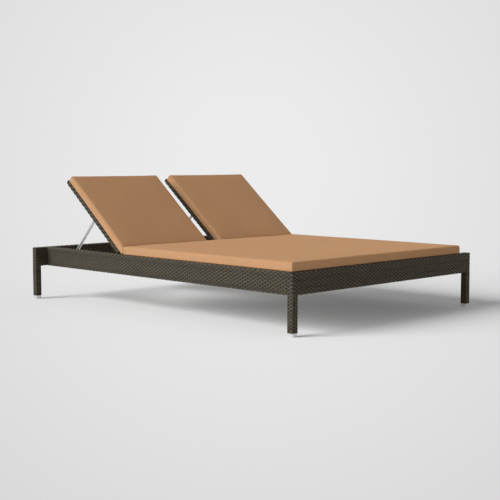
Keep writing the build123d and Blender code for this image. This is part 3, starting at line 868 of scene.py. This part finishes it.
def cushion(name, node, size, matrix, spacing, hold, reshape=None):
    """A filled pad with its seams. hold fixes a finished mesh in place, on its body where one is given.
    """
    points, share, faces, loops = pad_grid(size, spacing)
    points = points + swell(points, faces)
    for k in (0, 1):
        points[:, k] *= size[k] / 2 / np.abs(points[:, k]).max()
    share_x = np.clip(1 - share[:, 0] ** 2, 0, 1)
    share_y = np.clip(1 - share[:, 1] ** 2, 0, 1)
    height = np.clip(points[:, 2] / size[2], 0, 1)
    near_edge = np.minimum((1 - np.abs(share[:, 0])) * size[0], (1 - np.abs(share[:, 1])) * size[1]) / 2
    pucker = PUCKER * np.exp(-near_edge / PUCKER_REACH) * ripples(points, 9, 0.055, 0.024)
    rolling = ROLLING * ripples(points, 6, 0.50, 0.20)
    points[:, 2] += (CROWN * (share_x * share_y) ** CROWN_POWER + pucker + rolling) * height ** 2
    points[:, 0] -= np.sign(share[:, 0]) * PULL * share_y * np.abs(share[:, 0]) ** PULL_POWER
    points[:, 1] -= np.sign(share[:, 1]) * PULL * share_x * np.abs(share[:, 1]) ** PULL_POWER
    points[:, 2] = np.maximum(points[:, 2], 0.0)
    if reshape:
        points = reshape(points)
    mesh = mesh_of(name, points, faces)
    mesh.transform(matrix)
    mesh.materials.append(fabric)
    obj = bpy.data.objects.new(name, mesh)
    bpy.context.scene.collection.objects.link(obj)
    smooth = obj.modifiers.new("Smooth", "SUBSURF")
    smooth.levels = smooth.render_levels = 1
    bpy.context.view_layer.update()
    graph = bpy.context.evaluated_depsgraph_get()
    obj.data = bpy.data.meshes.new_from_object(obj.evaluated_get(graph))
    obj.modifiers.clear()
    hold(obj)
    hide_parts(node)
    stitching = Strands()
    for loop in loops:
        line = seam(points[loop], SEAM)
        stitching.grid(line, 0.5, 0.0, 0.0, wrap_rows=True, wrap_cols=True)
    sewn = stitching.build(name + "_seams", fabric, matrix)
    hold(sewn)


REST_GAP = 0.0001
SEAT_TALL = 0.0445
SEAT_SPACING = 0.014

seat_low, seat_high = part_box("seat_cushion")
seat_size = (seat_high.x - seat_low.x, seat_high.y - seat_low.y, SEAT_TALL)
seat_place = Matrix.Translation(((seat_low.x + seat_high.x) / 2, (seat_low.y + seat_high.y) / 2,
                                 TOP + REST_GAP))
cushion("pad_seat", "seat_cushion", seat_size, seat_place, SEAT_SPACING,
        lambda obj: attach(obj, "frame"))

# A back pad, lying flat about its hinge: how far it reaches beyond the hinge and up the backrest.
# BACK_FRONT_LOW and BACK_PAD, beyond the hinge and out, are where its front's lower edge is.
BACK_LOW = 0.037
BACK_HIGH = 0.580
BACK_FRONT_LOW = 0.021
BACK_PAD = 0.043
BACK_WIDE = 0.628
BACK_TALL = 0.0405
BACK_SPACING = 0.012
BACK_SHIFT = 0.003
TUCK_START = -0.070
TUCK_SOFT = 0.0015
ABOVE_RAILS = 0.0015
back_middle = (BACK_LOW - BACK_HIGH) / 2
rest_z = BACK_THICK / 2 + REST_GAP


def tucked(points):
    """The pad's lower end stands upright beside the seat cushion, and rests just above the rails."""
    x = points[:, 0] + back_middle
    z = points[:, 2] + rest_z
    front = BACK_FRONT_LOW * math.cos(RECLINE) + (rest_z + BACK_PAD) * math.sin(RECLINE)
    beside = (front - z * math.sin(RECLINE)) / math.cos(RECLINE)
    above = (HINGE_Z - TOP - ABOVE_RAILS + z * math.cos(RECLINE)) / math.sin(RECLINE)
    limit = -TUCK_SOFT * np.log(np.exp(-beside / TUCK_SOFT) + np.exp(-above / TUCK_SOFT))
    share = np.clip((x - TUCK_START) / (BACK_LOW - TUCK_START), 0, None)
    moved = points.copy()
    moved[:, 0] = np.where(share > 0, TUCK_START + share * (limit - TUCK_START), x) - back_middle
    return moved


back_size = (BACK_HIGH + BACK_LOW, BACK_WIDE, BACK_TALL)
for side, sign in (("near", -1), ("far", 1)):
    seat = reclined(sign)
    place = seat @ Matrix.Translation((back_middle, BACK_SHIFT, rest_z))

    def tuck_in(obj):
        """Bakes the pad's placement into its mesh and fixes it to no body; its lower end already stands
        down beside the seat cushion and the rest lies at the backrest's slope.
        """
        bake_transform(obj)

    cushion("pad_" + side + "_backrest", side + "_backrest_cushion", back_size, place, BACK_SPACING,
            tuck_in, tucked)


# Stage, lights and camera ----------------------------------------------------------------

# The photo's viewpoint, which the camera takes, and the direction from it in which the backdrop is
# brightest. Both are fixed in the world: the gradient stays where it is when a camera moves.
VIEWPOINT = (4.1336, -4.0837, 0.8)
GLOW_TO = Vector((-0.7073, 0.7056, -0.0080)).normalized()
GLOW_SPREAD = 10.0
AMBIENT = 0.25
FLOOR_REACH = 200.0
FADE_NEAR = 2.0
FADE_FAR = 4.5
# How much the floor glows by itself near the object: painted light that lightens the shadow under it
NEAR_GLOW_SHARE = 0.18
LAMP_AWAY = 6
LENS = 73.9
LOOK_DOWN = 4.93
LOOK_TURN = 135.06


def glow(tree, direction):
    """A pale studio backdrop with a painted pool of light, brightest in its middle: one rule for the
    floor and the wall.
    """
    dot = tree.nodes.new("ShaderNodeVectorMath")
    dot.operation = "DOT_PRODUCT"
    dot.inputs[1].default_value = GLOW_TO
    tree.links.new(direction, dot.inputs[0])
    away = math_node(tree, "MULTIPLY", math_node(tree, "SUBTRACT", 1.0, dot.outputs["Value"]),
                     GLOW_SPREAD)
    stops = [(0.0, 0.838), (0.12, 0.795), (0.30, 0.760), (0.45, 0.735), (0.70, 0.70), (1.0, 0.69)]
    return ramp(tree, away, [(at, (level, level, level)) for at, level in stops])


def floor_material():
    """A pale floor that takes the light and the shadow, and glows by itself further out. Near the object
    it glows a little too, as painted light that lightens the shadow.
    """
    material, tree, shader = new_material("studio_floor")
    out = tree.nodes["Material Output"]
    where = object_coordinates(tree)
    length = tree.nodes.new("ShaderNodeVectorMath")
    length.operation = "LENGTH"
    tree.links.new(where, length.inputs[0])
    fade = tree.nodes.new("ShaderNodeMapRange")
    fade.interpolation_type = "SMOOTHSTEP"
    fade.inputs["From Min"].default_value = FADE_NEAR
    fade.inputs["From Max"].default_value = FADE_FAR
    fade.inputs["To Min"].default_value = NEAR_GLOW_SHARE
    tree.links.new(length.outputs["Value"], fade.inputs["Value"])
    offset = tree.nodes.new("ShaderNodeVectorMath")
    offset.operation = "SUBTRACT"
    offset.inputs[1].default_value = VIEWPOINT
    tree.links.new(where, offset.inputs[0])
    unit = tree.nodes.new("ShaderNodeVectorMath")
    unit.operation = "NORMALIZE"
    tree.links.new(offset.outputs[0], unit.inputs[0])
    # The floor's colour carries the same painted pool of light as the backdrop
    colour = glow(tree, unit.outputs[0])
    tree.links.new(colour, shader.inputs["Base Color"])
    shader.inputs["Roughness"].default_value = 1.0
    shader.inputs["Specular IOR Level"].default_value = 0.0
    light = tree.nodes.new("ShaderNodeEmission")
    tree.links.new(colour, light.inputs["Color"])
    blend = tree.nodes.new("ShaderNodeMixShader")
    tree.links.new(fade.outputs["Result"], blend.inputs["Fac"])
    tree.links.new(shader.outputs[0], blend.inputs[1])
    tree.links.new(light.outputs[0], blend.inputs[2])
    tree.links.new(blend.outputs[0], out.inputs["Surface"])
    return material


floor_mesh = bpy.data.meshes.new("studio_floor")
floor_mesh.from_pydata([(x * FLOOR_REACH, y * FLOOR_REACH, 0)
                        for x, y in ((-1, -1), (1, -1), (1, 1), (-1, 1))], [], [(0, 1, 2, 3)])
floor = bpy.data.objects.new("studio_floor", floor_mesh)
bpy.context.scene.collection.objects.link(floor)
floor_mesh.materials.append(floor_material())
floor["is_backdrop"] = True

world = bpy.data.worlds.new("studio")
world.use_nodes = True
bpy.context.scene.world = world
tree = world.node_tree
background = tree.nodes["Background"]
background.inputs["Color"].default_value = (1, 1, 1, 1)
background.inputs["Strength"].default_value = AMBIENT
# Camera, glossy and transmission rays see the backdrop with its painted pool of light; other rays get
# the plain white ambient
seen = tree.nodes.new("ShaderNodeBackground")
looking = tree.nodes.new("ShaderNodeTexCoord").outputs["Generated"]
tree.links.new(glow(tree, looking), seen.inputs["Color"])
path = tree.nodes.new("ShaderNodeLightPath")
either = math_node(tree, "MAXIMUM", path.outputs["Is Glossy Ray"], path.outputs["Is Transmission Ray"])
either = math_node(tree, "MAXIMUM", path.outputs["Is Camera Ray"], either)
choose = tree.nodes.new("ShaderNodeMixShader")
tree.links.new(either, choose.inputs["Fac"])
tree.links.new(background.outputs[0], choose.inputs[1])
tree.links.new(seen.outputs[0], choose.inputs[2])
tree.links.new(choose.outputs[0], tree.nodes["World Output"].inputs["Surface"])


def soft_key(name, toward, width, strength, for_floor, tint=(1, 1, 1)):
    """A broad even light, for the object or for the floor and its shadow."""
    source = Vector(toward).normalized()
    data = bpy.data.lights.new(name, "SUN")
    data.angle = math.radians(width)
    data.energy = strength * math.pi
    data.color = tint
    lamp = bpy.data.objects.new(name, data)
    bpy.context.scene.collection.objects.link(lamp)
    lamp.location = source * LAMP_AWAY
    lamp.rotation_euler = source.to_track_quat("Z", "Y").to_euler()
    linked = bpy.data.collections.new(name + "_lights")
    linked.objects.link(floor)
    if not for_floor:
        linked.collection_objects[0].light_linking.link_state = "EXCLUDE"
    lamp.light_linking.receiver_collection = linked


soft_key("side_key", (-0.328, -0.837, 0.440), 38, 0.90, False, (0.97, 1.0, 1.08))
soft_key("top_key", (-0.12, 0.0, 0.99), 80, 0.35, False)
soft_key("floor_key", (-0.334, -0.832, 0.444), 38, 1.69, True)

camera_data = bpy.data.cameras.new("camera")
camera_data.lens = LENS
camera_data.sensor_width = 36.0
camera_data.clip_end = FLOOR_REACH
camera = bpy.data.objects.new("camera", camera_data)
bpy.context.scene.collection.objects.link(camera)
camera.location = VIEWPOINT
camera.rotation_euler = (math.radians(90 - LOOK_DOWN), 0, math.radians(LOOK_TURN - 90))
bpy.context.scene.camera = camera

view = bpy.context.scene.view_settings
view.view_transform = "Standard"

bpy.context.view_layer.update()
low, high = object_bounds()
